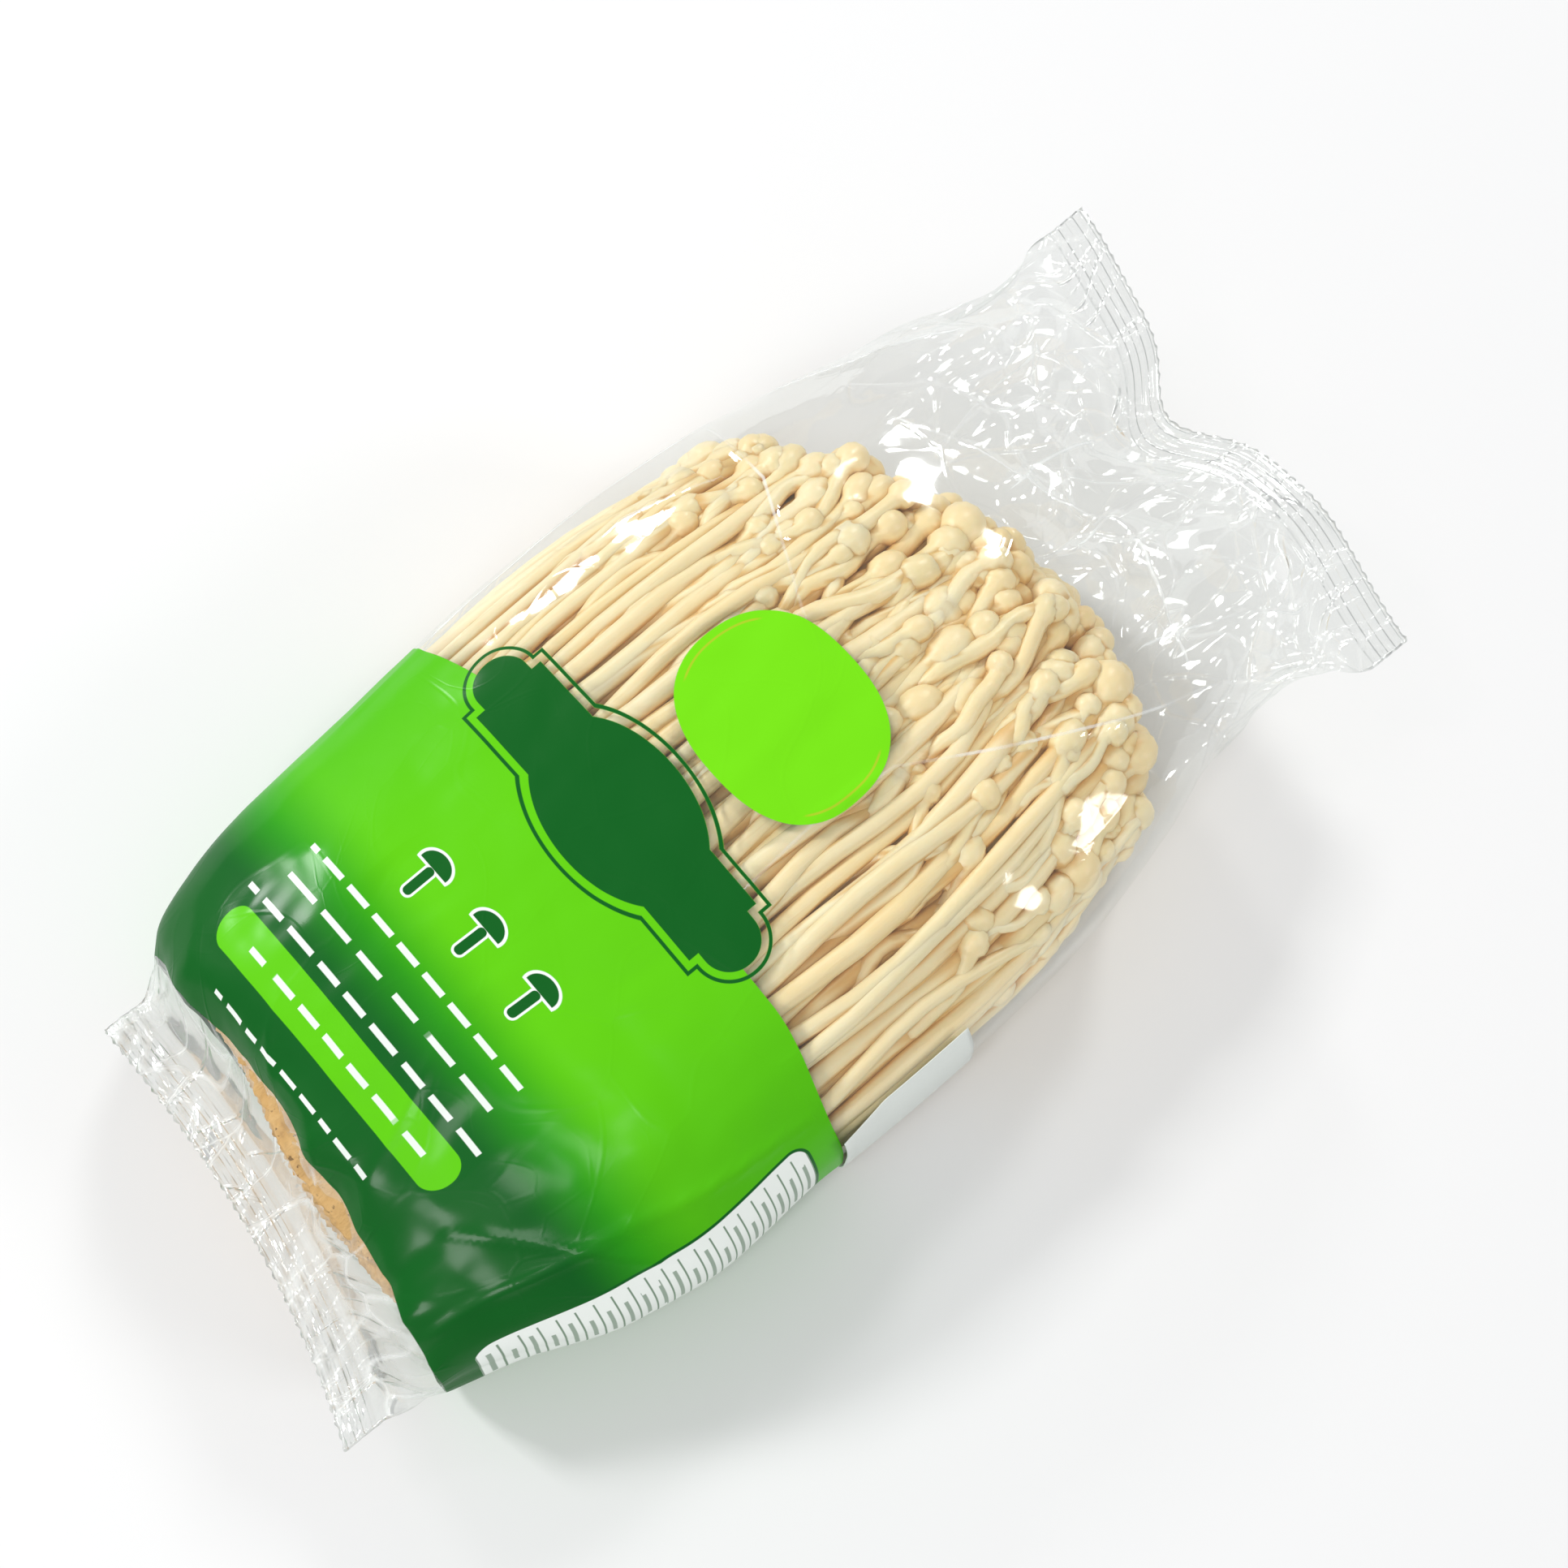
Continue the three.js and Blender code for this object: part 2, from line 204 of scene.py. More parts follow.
azimuth, elevation = math.radians(viewpoint["azimuth"]), math.radians(viewpoint["elevation"])
back = Vector((
    math.sin(azimuth) * math.cos(elevation),
    -math.cos(azimuth) * math.cos(elevation),
    math.sin(elevation),
))
cameraData = bpy.data.cameras.new("camera")
cameraData.lens = viewpoint["lens"]
cameraData.sensor_width = 36
cameraData.shift_x, cameraData.shift_y = viewpoint["shift"]
cameraObject = bpy.data.objects.new("camera", cameraData)
cameraObject.location = Vector(viewpoint["target"]) + back * viewpoint["distance"]
cameraObject.rotation_euler = back.to_track_quat("Z", "Y").to_euler()
bpy.context.scene.collection.objects.link(cameraObject)
bpy.context.scene.camera = cameraObject


# Node helpers

class Field:
    # a number that varies over a surface
    def __init__(self, tree, source):
        self.tree = tree
        self.source = source

    def compute(self, operation, *others, clamp=False):
        node = self.tree.nodes.new("ShaderNodeMath")
        node.operation = operation
        node.use_clamp = clamp
        for socket, value in zip(node.inputs, (self, *others)):
            if isinstance(value, Field):
                self.tree.links.new(value.source, socket)
            else:
                socket.default_value = value
        return Field(self.tree, node.outputs[0])

    def __add__(self, other):
        return self.compute("ADD", other)

    def __sub__(self, other):
        return self.compute("SUBTRACT", other)

    def __mul__(self, other):
        return self.compute("MULTIPLY", other)

    def __truediv__(self, other):
        return self.compute("DIVIDE", other)

    def size(self):
        return self.compute("ABSOLUTE")

    def least(self, other):
        return self.compute("MINIMUM", other)

    def most(self, other):
        return self.compute("MAXIMUM", other)

    def share(self):
        return self.compute("ADD", 0.0, clamp=True)

    def repeated(self, pitch):
        # distance from the middle of the nearest repeat
        return (self + pitch / 2).compute("WRAP", pitch, 0.0) - pitch / 2

    def ramp(self, start, end):
        node = self.tree.nodes.new("ShaderNodeMapRange")
        node.interpolation_type = "SMOOTHSTEP"
        self.tree.links.new(self.source, node.inputs["Value"])
        node.inputs["From Min"].default_value = min(start, end)
        node.inputs["From Max"].default_value = max(start, end)
        node.inputs["To Min"].default_value = 0.0 if start < end else 1.0
        node.inputs["To Max"].default_value = 1.0 if start < end else 0.0
        return Field(self.tree, node.outputs[0])


def newMaterial(name):
    material = bpy.data.materials.new(name)
    material.use_nodes = True
    tree = material.node_tree
    tree.nodes.clear()
    return material, tree, tree.nodes.new("ShaderNodeOutputMaterial")


def noise(tree, coordinate, scale, detail=3.0, roughness=0.5, stretch=(1, 1, 1)):
    mapping = tree.nodes.new("ShaderNodeMapping")
    mapping.inputs["Scale"].default_value = stretch
    node = tree.nodes.new("ShaderNodeTexNoise")
    node.inputs["Scale"].default_value = scale
    node.inputs["Detail"].default_value = detail
    node.inputs["Roughness"].default_value = roughness
    tree.links.new(coordinate, mapping.inputs["Vector"])
    tree.links.new(mapping.outputs[0], node.inputs["Vector"])
    return Field(tree, node.outputs["Fac"])


def blendColor(tree, amount, first, second):
    node = tree.nodes.new("ShaderNodeMix")
    node.data_type = "RGBA"
    tree.links.new(amount.source, node.inputs[0])
    for index, value in ((6, first), (7, second)):
        if isinstance(value, tuple):
            node.inputs[index].default_value = (*value, 1)
        else:
            tree.links.new(value, node.inputs[index])
    return node.outputs[2]


def bumpNormal(tree, height, strength, distance):
    node = tree.nodes.new("ShaderNodeBump")
    node.inputs["Strength"].default_value = strength
    node.inputs["Distance"].default_value = distance
    tree.links.new(height.source, node.inputs["Height"])
    return node.outputs[0]


def srgb(red, green, blue):
    return tuple(c / 12.92 if c <= 0.04045 else ((c + 0.055) / 1.055) ** 2.4 for c in (red, green, blue))


# Mushrooms

bunchLook = {
    "seed": 20261,
    "rootFace": -86,
    "stemSides": 10,
    "stemRings": 15,
    "surface": 88,  # the ones that lie along the film
    "second": 66,  # the layer under them
    "inner": 130,  # shorter ones that fill the cap end
    "crowd": 104,  # the ones whose caps lie on top of the others
    "girth": (1, 0.14, 0.72, 1.3),  # mean, spread, least and most, as a share of the usual
    "stemRadius": 1.88,
    "capSwell": (1.4, 2.05),
    "capStretch": (0.95, 1.5),
    "clearance": 0.5,
    "lineSteps": 60,
    "coreInset": 7.2,
    "coreLength": 143,
    "shelterReach": 4,
    "color": srgb(0.95, 0.86, 0.655),
    "pale": srgb(0.955, 0.915, 0.775),
    # the next two are painted shade: deep in the bunch (also the colour of the fibre streaks), and in the crevices
    # between the stems
    "shade": srgb(0.90, 0.76, 0.48),
    "creviceShade": srgb(0.85, 0.65, 0.33),
}

# Rings of the cap from its lower edge: distance from the tip over the cap's length, and radius over its widest
capProfile = ((1.0, 0.0), (0.84, 0.18), (0.72, 0.8), (0.54, 1.0), (0.36, 0.97), (0.18, 0.8), (0.05, 0.48))


def tipLine(y):
    off = y + 6
    return np.where(off > 0, 73 - 0.0088 * off * off, 73 - 1.3e-4 * np.abs(off) ** 3.15)


def bunchPoint(x, v, inset, share=1.0):
    slack = 9.5 * (1 - smooth(bunchLook["rootFace"], -30, x))
    y, z = sectionPoint(x, angleAt(v), inset + slack)
    middleY = outline("side", x)
    middleZ = outline("under", x) + bagForm["belly"] * (outline("top", x) - outline("under", x))
    return np.stack([x + 0 * y, middleY + (y - middleY) * share, middleZ + (z - middleZ) * share], -1)


def mushroomTemplate():
    # one ring of corners per unit of x, closed to a point at the far end
    made = bmesh.new()
    count = bunchLook["stemRings"] + len(capProfile)
    profile = [made.verts.new((k, 1, 0)) for k in range(count)]
    profile.append(made.verts.new((count, 0, 0)))
    edges = [made.edges.new(pair) for pair in zip(profile, profile[1:])]
    bmesh.ops.spin(
        made, geom=profile + edges, cent=(0, 0, 0), axis=(1, 0, 0), dvec=(0, 0, 0),
        angle=2 * math.pi, steps=bunchLook["stemSides"], use_merge=True, use_duplicate=False,
    )
    bmesh.ops.remove_doubles(made, verts=made.verts, dist=1e-4)
    bmesh.ops.holes_fill(made, edges=[edge for edge in made.edges if edge.is_boundary], sides=0)
    bmesh.ops.recalc_face_normals(made, faces=made.faces)
    mesh = bpy.data.meshes.new("template")
    made.to_mesh(mesh)
    made.free()
    return mesh


def mushroomList():
    draw = random.Random(bunchLook["seed"])
    start = bunchLook["rootFace"] - 1
    # depth is how much painted shade a mushroom gets for lying under the others
    spots = []
    for k in range(bunchLook["surface"]):
        v = girth * (k + 0.5 + draw.uniform(-0.3, 0.3)) / bunchLook["surface"]
        early = draw.random() < 0.2
        short = draw.uniform(12, 44) if early else draw.uniform(0, 8)
        spots.append({"layer": "surface", "v": v, "share": 1.0, "from": start, "short": short, "depth": 0.25})
    for k in range(bunchLook["second"]):
        v = girth * (k + 0.5 + draw.uniform(-0.3, 0.3)) / bunchLook["second"]
        short = draw.uniform(0, 7)
        spots.append({"layer": "second", "v": v, "share": 1.0, "from": start, "short": short, "depth": 0.8})
    for k in range(bunchLook["inner"]):
        share = 0.93 * math.sqrt((k + 0.5) / bunchLook["inner"])
        v = girth * ((k * 0.381966 + draw.uniform(-0.02, 0.02)) % 1)
        begin = draw.uniform(8, 26)
        short = draw.uniform(0, 5)
        spots.append({"layer": "inner", "v": v, "share": share, "from": begin, "short": short, "depth": 0.7})
    for k in range(bunchLook["crowd"]):
        v = -86 + 172 * ((k * 0.618034 + 0.2) % 1) + draw.uniform(-2, 2)
        short = 1.5 + 46 * ((k + 0.5) / bunchLook["crowd"]) ** 1.5 * (0.75 if v > 20 else 1)
        reach = draw.uniform(26, 60)
        spots.append({"layer": "crowd", "v": v, "share": 1.0, "from": reach, "short": short, "depth": 0.0})
    mean, spread, least, most = bunchLook["girth"]
    for spot in spots:
        spot["girth"] = min(most, max(least, draw.gauss(mean, spread)))
        spot["swell"] = draw.uniform(*bunchLook["capSwell"])
        spot["stretch"] = draw.uniform(*bunchLook["capStretch"])
        spot["sway"] = [draw.uniform(-1, 1) for _ in range(9)]
        spot["tint"] = draw.random()
    return spots


# The centre line and the radii of one mushroom, from its root to its tip
def mushroomRings(spot):
    radius = bunchLook["stemRadius"] * spot["girth"]
    capRadius = radius * spot["swell"]
    capLength = 2 * capRadius * spot["stretch"]
    rest = bagForm["filmWall"] + bunchLook["clearance"]
    sway = spot["sway"]
    crowd = spot["layer"] == "crowd"
    skin = bunchPoint(np.array([50.0]), np.array([spot["v"]]), rest + capRadius, spot["share"])[0]
    rise = (skin[2] - 20) / 20
    tipX = float(tipLine(skin[1])) - 7 * rise * rise * spot["share"] - spot["short"]
    fromX = tipX - spot["from"] if crowd else spot["from"]
    t = np.linspace(0, 1, bunchLook["lineSteps"])
    x = fromX + (tipX - fromX) * t
    nearTip = smooth(tipX - 32, tipX, x)
    wave = 0.5 + 0.5 * np.sin(5 * t * (1.3 + 0.5 * sway[5]) + 6 * sway[0])
    if crowd:
        dive = 5.5 * (1 - smooth(0, 0.45, t)) + 1.6 * abs(sway[6])
        lean = 10 * sway[4] * nearTip ** 1.5
        wriggle = 1.6 * np.sin(8 * t + 3 * sway[7]) * smooth(0, 0.4, t)
    else:
        dive = 2.6 * smooth(12, 50, x) * (0.6 + 0.4 * sway[8]) + 2.6 * max(0, sway[6]) * nearTip
        dive = dive + (2.1 if spot["layer"] == "second" else 0)
        lean = 7 * sway[4] * nearTip ** 1.6
        wriggle = 0.9 * np.sin(28 * t + 3 * sway[7]) * nearTip
    inset = rest + radius + 0.2 + (capRadius - radius) * nearTip + dive + 1.1 * radius * wave * (1 - 0.6 * nearTip)
    wander = 1.3 * np.sin(7 * t + 3 * sway[1]) * sway[2] + 0.9 * np.sin(15 * t + 3 * sway[3])
    v = spot["v"] + (wander + lean + wriggle) / max(0.35, spot["share"])
    points = bunchPoint(x, v, inset, spot["share"])
    lengths = np.concatenate([[0], np.cumsum(np.linalg.norm(np.diff(points, axis=0), axis=1))])
    total = lengths[-1]
    stem = np.linspace(0, total - capLength * 1.03, bunchLook["stemRings"] + 1)[:-1]
    cap = np.array([total - share * capLength for share, _ in capProfile])
    places = np.concatenate([stem, cap, [total]])
    along = places / total
    radii = radius * (0.84 + 0.16 * smooth(0, 0.7, along) + 0.05 * np.sin(9 * along + 5 * sway[0]))
    for k, (_, swell) in enumerate(capProfile, len(stem)):
        low = radii[k] if k < len(stem) + 4 else 0
        radii[k] = low * (1 - swell) + capRadius * swell
    radii[-1] = 0
    centres = np.stack([np.interp(places, lengths, points[:, axis]) for axis in range(3)], -1)
    return centres, radii


def growMushrooms(name, spots, material):
    template = mushroomTemplate()
    corners = np.empty(len(template.vertices) * 3)
    template.vertices.foreach_get("co", corners)
    corners = corners.reshape(-1, 3)
    ring = np.rint(corners[:, 0]).astype(int)
    made = bmesh.new()
    places, shades = [], []
    for spot in spots:
        made.from_mesh(template)
        centres, radii = mushroomRings(spot)
        ahead = unit(np.gradient(centres, axis=0))
        sideways = unit(np.cross(np.array([0.0, 0.0, 1.0]), ahead))
        upward = np.cross(ahead, sideways)
        spread = corners[:, 1:2] * sideways[ring] + corners[:, 2:3] * upward[ring]
        places.append(centres[ring] + spread * radii[ring][:, None])
        capness = smooth(bunchLook["stemRings"] - 2, bunchLook["stemRings"] + 2, ring)
        even = np.ones(len(ring))
        shades.append(np.stack([even * spot["tint"], even * spot["depth"], capness, even], -1))
    mesh = bpy.data.meshes.new(name)
    made.to_mesh(mesh)
    made.free()
    bpy.data.meshes.remove(template)
    placeVertices(mesh, np.concatenate(places))
    growthAndShade = mesh.attributes.new("growthAndShade", "FLOAT_COLOR", "POINT")
    growthAndShade.data.foreach_set("color", np.concatenate(shades).ravel())
    return addPiece(name, mesh, material, "mushroom", "mushroom_bunch")


# The middle, deep between the stems, painted all in the shade colour
def growCore(material):
    mesh, places = gridMesh("bunch_core", 40, 48)
    t = places[:, 0]
    x = bunchLook["rootFace"] + t * bunchLook["coreLength"]
    closing = np.clip((t - 0.86) / 0.14, 0, 1)
    size = np.sqrt(np.maximum(1e-4, 1 - closing ** 2)) * 0.99
    size = size * np.sqrt(np.clip(t / 0.04, 1e-4, 1))
    points = bunchPoint(x, girth * places[:, 1], bunchLook["coreInset"], size)
    bow = (tipLine(points[:, 1]) - 14 - bunchLook["rootFace"]) / 146
    points[:, 0] = bunchLook["rootFace"] + (x - bunchLook["rootFace"]) * np.minimum(1, bow)
    placeVertices(mesh, points)
    closeMesh(mesh, 2e-4)
    # full depth: the core is painted shade
    growthAndShade = mesh.attributes.new("growthAndShade", "FLOAT_COLOR", "POINT")
    growthAndShade.data.foreach_set("color", np.tile([0.5, 1.0, 0.0, 1.0], len(mesh.vertices)))
    return addPiece("bunch_core", mesh, material, "mushroom", "mushroom_bunch")


def mushroomMaterial():
    material, tree, output = newMaterial("mushroom_flesh")
    coordinate = tree.nodes.new("ShaderNodeTexCoord").outputs["Object"]
    place = tree.nodes.new("ShaderNodeSeparateXYZ")
    tree.links.new(coordinate, place.inputs[0])
    growthAndShade = tree.nodes.new("ShaderNodeAttribute")
    growthAndShade.attribute_name = "growthAndShade"
    channels = tree.nodes.new("ShaderNodeSeparateColor")
    tree.links.new(growthAndShade.outputs["Color"], channels.inputs[0])
    tint, depth, cap = (Field(tree, channels.outputs[k]) for k in range(3))
    streaks = noise(tree, coordinate, 900, 4, 0.6, (0.06, 1, 1))
    blotches = noise(tree, coordinate, 130, 3, 0.55)
    towardsRoot = Field(tree, place.outputs[0]).ramp(0.03, -0.04)
    paleness = (tint * 0.6 + blotches * 0.9 + streaks * 0.8 - 0.9 + towardsRoot * 0.35 - cap * 0.12).share()
    fleshy = blendColor(tree, paleness, bunchLook["color"], bunchLook["pale"])
    fibres = streaks.ramp(0.58, 0.75) * (cap * -0.7 + 1.0)
    # painted shade: mushrooms deep in the bunch are darker and more orange; the real fibre streaks use the same
    # colour
    deep = (depth * 0.55 + fibres * 0.3 - cap * 0.1).share()
    shaded = blendColor(tree, deep, fleshy, bunchLook["shade"])
    # painted shade in the crevices, where the measured shelter is high
    nearby = tree.nodes.new("ShaderNodeAttribute")
    nearby.attribute_name = "shelter"
    creviceShade = Field(tree, nearby.outputs["Fac"]).ramp(0.12, 0.75)
    creviceShaded = blendColor(tree, creviceShade * 0.75, shaded, bunchLook["creviceShade"])
    shader = tree.nodes.new("ShaderNodeBsdfPrincipled")
    tree.links.new(creviceShaded, shader.inputs["Base Color"])
    shader.inputs["Subsurface Weight"].default_value = 0.22
    shader.inputs["Subsurface Radius"].default_value = (1.0, 0.65, 0.4)
    shader.inputs["Subsurface Scale"].default_value = 0.002
    tree.links.new((streaks * 0.25 + blotches * 0.2 + 0.16).source, shader.inputs["Roughness"])
    relief = streaks * 0.6 + noise(tree, coordinate, 420, 2, 0.5) * 0.6
    tree.links.new(bumpNormal(tree, relief, 0.5, 0.0003), shader.inputs["Normal"])
    tree.links.new(shader.outputs[0], output.inputs["Surface"])
    return material


# How far each corner is shut in by its neighbours, from rays that spread out from it; the flesh gets painted shade
# by it
def measureShelter(pieces):
    reach = bunchLook["shelterReach"] / 1000
    corners, faces, starts = [], [], []
    for piece in pieces:
        starts.append(len(corners))
        faces += [[index + len(corners) for index in polygon.vertices] for polygon in piece.data.polygons]
        corners += [vertex.co.copy() for vertex in piece.data.vertices]
    surroundings = BVHTree.FromPolygons(corners, faces)
    spread = [Vector((0, 0, 1))]
    for tilt, count in ((0.7, 4), (1.15, 5)):
        for k in range(count):
            turn = 2 * math.pi * (k + 0.3 * tilt) / count
            spread.append(Vector((math.sin(tilt) * math.cos(turn), math.sin(tilt) * math.sin(turn), math.cos(tilt))))
    for piece in pieces:
        shelter = []
        for vertex in piece.data.vertices:
            turned = vertex.normal.to_track_quat("Z", "Y").to_matrix()
            start = vertex.co + vertex.normal * 1e-4
            total = 0
            for direction in spread:
                distance = surroundings.ray_cast(start, turned @ direction, reach)[3]
                total += 0 if distance is None else 1 - 0.6 * distance / reach
            shelter.append(total / len(spread))
        piece.data.attributes.new("shelter", "FLOAT", "POINT").data.foreach_set("value", shelter)


mushrooms = mushroomList()
flesh = mushroomMaterial()
bunch = [
    growMushrooms("bunch_caps", [spot for spot in mushrooms if spot["layer"] == "crowd"], flesh),
    growMushrooms("bunch_outer", [spot for spot in mushrooms if spot["layer"] == "surface"], flesh),
    growMushrooms("bunch_inner", [spot for spot in mushrooms if spot["layer"] in ("second", "inner")], flesh),
    growCore(flesh),
]
measureShelter(bunch)
print("mushrooms grown")


# Root

rootLook = {
    "end": -100.4,
    "half": 36,
    "top": 29,
    "under": 4,
    "gap": 0.3,
    "endShare": 0.34,  # how much of the grid closes the cut end
    "sideShare": 0.4,  # and how much goes round the side
    "color": srgb(0.80, 0.62, 0.36),
    "dark": srgb(0.48, 0.30, 0.14),
    "bright": srgb(0.88, 0.74, 0.52),
    "speck": srgb(0.25, 0.14, 0.06),
}


def squared(direction):
    return np.sign(direction) * np.abs(direction) ** 0.72


def buildRoot(material):
    mesh, places = gridMesh("root_plug", 60, 150)
    t, angle = places[:, 0], 2 * math.pi * places[:, 1]
    endShare, sideShare = rootLook["endShare"], rootLook["sideShare"]
    rest = 1 - endShare - sideShare
    endFace = np.clip(t / endShare, 0, 1)
    side = np.clip((t - endShare) / sideShare, 0, 1)
    startFace = 1 - np.clip((t - endShare - sideShare) / rest, 0, 1)
    size = endFace * startFace * (0.84 + 0.16 * smooth(0, 0.3, side)) * 0.98
    lumps = 1 + 0.02 * np.sin(7 * angle + 1) + 0.015 * np.sin(17 * angle + 9 * side)
    middle = (rootLook["top"] + rootLook["under"]) / 2
    y = rootLook["half"] * size * lumps * squared(np.cos(angle))
    z = middle + (rootLook["top"] - rootLook["under"]) / 2 * size * lumps * squared(np.sin(angle))
    length = bunchLook["rootFace"] - rootLook["gap"] - rootLook["end"]
    x = rootLook["end"] + length * side
    rough = 0.5 * np.sin(y * 0.9) * np.sin(z * 1.3) + 0.35 * np.sin(y * 2.3 + z)
    x = x + (6 * smooth(-8, 28, y) + rough) * (1 - side)
    placeVertices(mesh, np.stack([x, y, z], -1))
    closeMesh(mesh, 3e-5)
    return addPiece("root_plug", mesh, material, "root", "root_base")


def rootMaterial():
    material, tree, output = newMaterial("root_fibre")
    coordinate = tree.nodes.new("ShaderNodeTexCoord").outputs["Object"]
    fibres = noise(tree, coordinate, 500, 6, 0.65, (0.25, 1, 1))
    patches = noise(tree, coordinate, 90, 4, 0.6)
    specks = noise(tree, coordinate, 700, 2, 0.5).ramp(0.66, 0.72)
    light = blendColor(tree, (fibres * 1.4 - 0.35).share(), rootLook["color"], rootLook["bright"])
    brown = blendColor(tree, patches.ramp(0.52, 0.72) * 0.6, light, rootLook["dark"])
    spotted = blendColor(tree, specks * 0.7, brown, rootLook["speck"])
    shader = tree.nodes.new("ShaderNodeBsdfPrincipled")
    tree.links.new(spotted, shader.inputs["Base Color"])
    tree.links.new((fibres * 0.2 + 0.62).source, shader.inputs["Roughness"])
    tree.links.new(bumpNormal(tree, fibres + patches * 0.6, 0.8, 0.0012), shader.inputs["Normal"])
    tree.links.new(shader.outputs[0], output.inputs["Surface"])
    return material


buildRoot(rootMaterial())
print("root built")


# Film bag: u is the length along it, v the length round it from the middle of the top

filmLook = {
    "seed": 9,
    "rows": 300,
    "columns": 280,
    # how many, the longest and the shortest
    "slackFolds": (30, 44, 14),
    "broadFolds": (16, 70, 26),
    "ribPitch": 2.2,
    "ribHeight": 0.28,
    "tabWall": 0.3,
    "cutTeeth": (0.6, 2.2),  # depth and pitch of the cut edge
    "crushed": ((18, 0.05), (8, 0.07)),  # size of the cells and width of their borders
    "ior": 1.5,
    "shine": (1.6, 0.005, 0.6),  # factor, least and most
    "through": (0.97, 0.975, 0.97),
    "haze": (0.9, 0.92, 0.9),
    "gloss": (0.96, 0.98, 0.97),
    "ventHole": (104, -36, 2.75),
    "ventRim": (0.3, 0.6),  # height and width
    "ventCells": 3,  # cells of the grid from its middle to its edge
    "sideBulge": 4,  # of the printed side wall, beyond the bag's plain form
    # u and v at both ends, height and width of single creases
    "creases": (
        (38, 58, 37, 38, 0.7, 0.8),
        (37, 38, 25, 12, 0.7, 0.8),
        (-13, -18, 5, -17, 0.6, 0.8),
        (5, -17, 19, -19, 0.8, 0.8),
        (19, -19, 65, -47, 0.9, 0.8),
        (65, -47, 92, -60, 1.0, 1.0),
        (14, 50, 30, 44, 0.7, 0.9),
        (-97, -51, -63, -50, 1.1, 1.3),
        (-63, -50, -29, -56, 0.9, 1.3),
        (-88, -36, -60, -62, 0.8, 1.4),
        (-96, -20, -66, -4, 0.5, 1.8),
        (-100, 10, -84, 24, 0.5, 1.4),
        (-60, 58, 40, 62, 0.6, 0.8),
        (54, 61, 84, 48, 0.9, 1.1),
        (68, 24, 104, 40, 1.0, 1.1),
        (74, 8, 104, 14, 0.9, 1.1),
        (64, 34, 84, -10, 0.8, 1.2),
        (76, -10, 104, -4, 0.9, 1.0),
        (84, -10, 74, -44, 0.9, 1.2),
        (70, -36, 104, -46, 1.0, 1.3),
    ),
}


def foldWave(value):
    return np.abs(2 * (value - np.floor(value + 0.5)))


# Straight folds in many directions, each in its own patches
def crumple(u, v, count, longest, shortest, seed):
    draw = random.Random(seed)
    height = np.zeros_like(u)
    for _ in range(count):
        turn = draw.uniform(0, math.pi)
        length = shortest * (longest / shortest) ** draw.random()
        wave = foldWave((u * math.cos(turn) + v * math.sin(turn)) / length + draw.random())
        reach = draw.uniform(5, 12)
        patch = np.sin(u / reach + draw.uniform(0, 6.3)) * np.sin(v / (reach * 0.8) + draw.uniform(0, 6.3))
        height += 0.08 * length * (wave - 0.5) * smooth(-0.1, 0.6, patch)
    return height


# Place along a crease from 0 to 1, distance from it, and the same distance with a sign for its side
def creasePlace(u, v, crease):
    startU, startV, endU, endV = crease[:4]
    du, dv = endU - startU, endV - startV
    along = np.clip(((u - startU) * du + (v - startV) * dv) / (du * du + dv * dv), 0, 1)
    away = np.hypot(u - startU - along * du, v - startV - along * dv)
    side = ((u - startU) * dv - (v - startV) * du) / math.hypot(du, dv)
    return along, away, side


def creaseHeight(u, v, crease):
    along, away, _ = creasePlace(u, v, crease)
    return crease[4] * np.exp(-away / crease[5]) * (0.35 + 0.65 * np.sin(math.pi * np.clip(along, 0.04, 0.96)))


# For the material: distance from the nearest crease, and how near it is, from 0 to 1; the film paints highlights
# along the creases by them
def creaseNearness(u, v):
    nearest = np.full(u.shape, 1e3)
    side = np.zeros(u.shape)
    for crease in filmLook["creases"]:
        _, away, across = creasePlace(u, v, crease)
        nearer = away < nearest
        side = np.where(nearer, np.sign(across) * away, side)
        nearest = np.minimum(nearest, away)
    return np.stack([side, 1 - smooth(1.6, 3.2, nearest), 0 * side], -1)


def filmSurface(u, v):
    rootSeal, capSeal = bagForm["rootSeal"], bagForm["capSeal"]
    angle = angleAt(v)
    x = np.clip(u, rootSeal, capSeal)
    y, z = sectionPoint(x, angle, 0)
    nearSeal = 1 - smooth(rootSeal, rootSeal + 9, u) + smooth(capSeal - 9, capSeal, u)
    share = np.mod(v / girth + 0.25, 1)  # 0 to 0.5 on top, 0.5 to 1 below
    across = np.where(share < 0.5, 4 * share - 1, 3 - 4 * share)
    y = y - filmLook["sideBulge"] * smooth(-102, -70, u) * (1 - smooth(-60, -29, u)) * smooth(25, 56, -y)
    y = y * (1 - nearSeal) + (outline("side", x) + across * outline("half", x)) * nearSeal
    welded = (1 - smooth(rootSeal - 1, rootSeal + 2, u)) + smooth(capSeal - 2, capSeal + 1, u)
    middle = (outline("top", x) + outline("under", x)) / 2
    z = z * (1 - welded) + middle * welded
    shiftX, shiftZ = endShift(x, y)
    folds = foldHeight(x, angle) * (1 - welded)
    return np.stack([u + shiftX, y, z + shiftZ + folds], -1), welded, share, across


